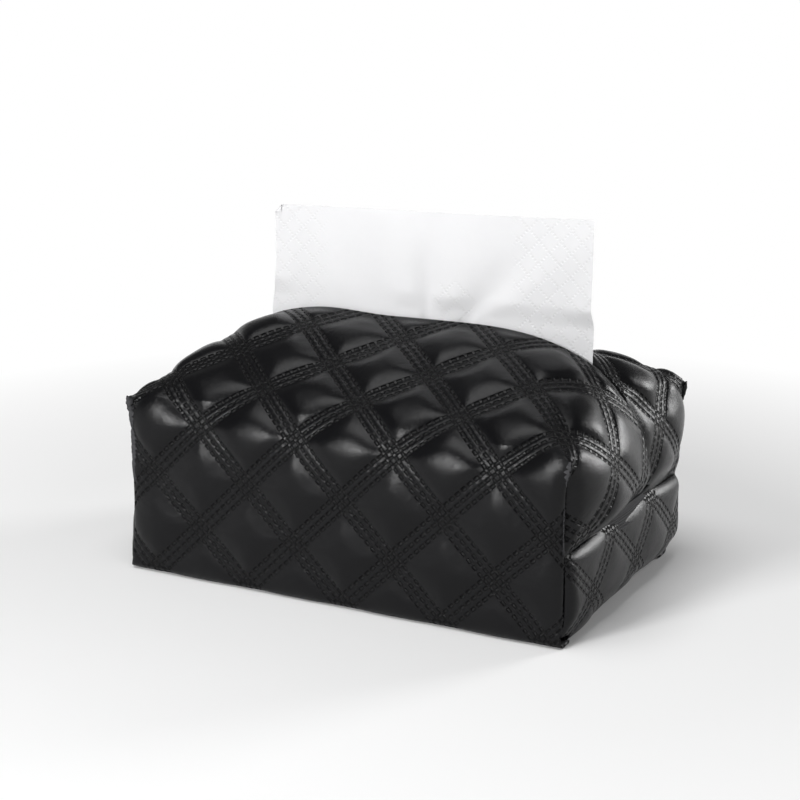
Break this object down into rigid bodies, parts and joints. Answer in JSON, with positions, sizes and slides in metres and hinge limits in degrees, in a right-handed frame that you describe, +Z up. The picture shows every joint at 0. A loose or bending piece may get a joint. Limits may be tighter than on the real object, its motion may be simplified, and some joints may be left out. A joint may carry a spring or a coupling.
{
  "type": "tissue box cover",
  "caption": "Soft box-shaped cover of diamond-quilted imitation leather with a slit on top, a tissue pack inside and a tissue standing out of the slit.",
  "frame": {"origin": "middle of the underside, on the surface that the cover stands on", "axes": "+X along the length, towards the right end in the picture; +Y from the front wall to the back; +Z up"},
  "size_m": [0.2398, 0.1404, 0.165],
  "materials": {
    "quilted_leather": "semi-gloss grained",
    "lining": "brushed backing",
    "tape": "woven tape",
    "thread": "glossy thread",
    "tissue": "soft embossed",
    "film": "thin film"
  },
  "bodies": {
    "cover": {"base_panel": "quilted_leather", "front_panel": "quilted_leather", "back_panel": "quilted_leather", "front_flap": "quilted_leather", "back_flap": "quilted_leather", "base_left_end": "quilted_leather", "front_flap_left_end": "quilted_leather", "back_flap_left_end": "quilted_leather", "base_right_end": "quilted_leather", "front_flap_right_end": "quilted_leather", "back_flap_right_end": "quilted_leather", "base_panel_lining": "lining", "front_panel_lining": "lining", "back_panel_lining": "lining", "front_flap_lining": "lining", "back_flap_lining": "lining", "base_left_end_lining": "lining", "front_flap_left_end_lining": "lining", "back_flap_left_end_lining": "lining", "base_right_end_lining": "lining", "front_flap_right_end_lining": "lining", "back_flap_right_end_lining": "lining", "end_binding_left": "tape", "end_binding_right": "tape", "corner_binding_front_left": "tape", "corner_binding_back_left": "tape", "corner_binding_front_right": "tape", "corner_binding_back_right": "tape", "front_hem": "quilted_leather", "back_hem": "quilted_leather", "front_hem_stitches": "thread", "back_hem_stitches": "thread", "tissue_stack": "tissue", "pack_film": "film"},
    "tissue": {"leading_tissue": "tissue"}
  },
  "joints": [
    {"name": "tissue_pull", "type": "slide", "parent": "cover", "child": "tissue", "axis": [0, 0, 1], "range_m": [0, 0.045]}
  ]
}
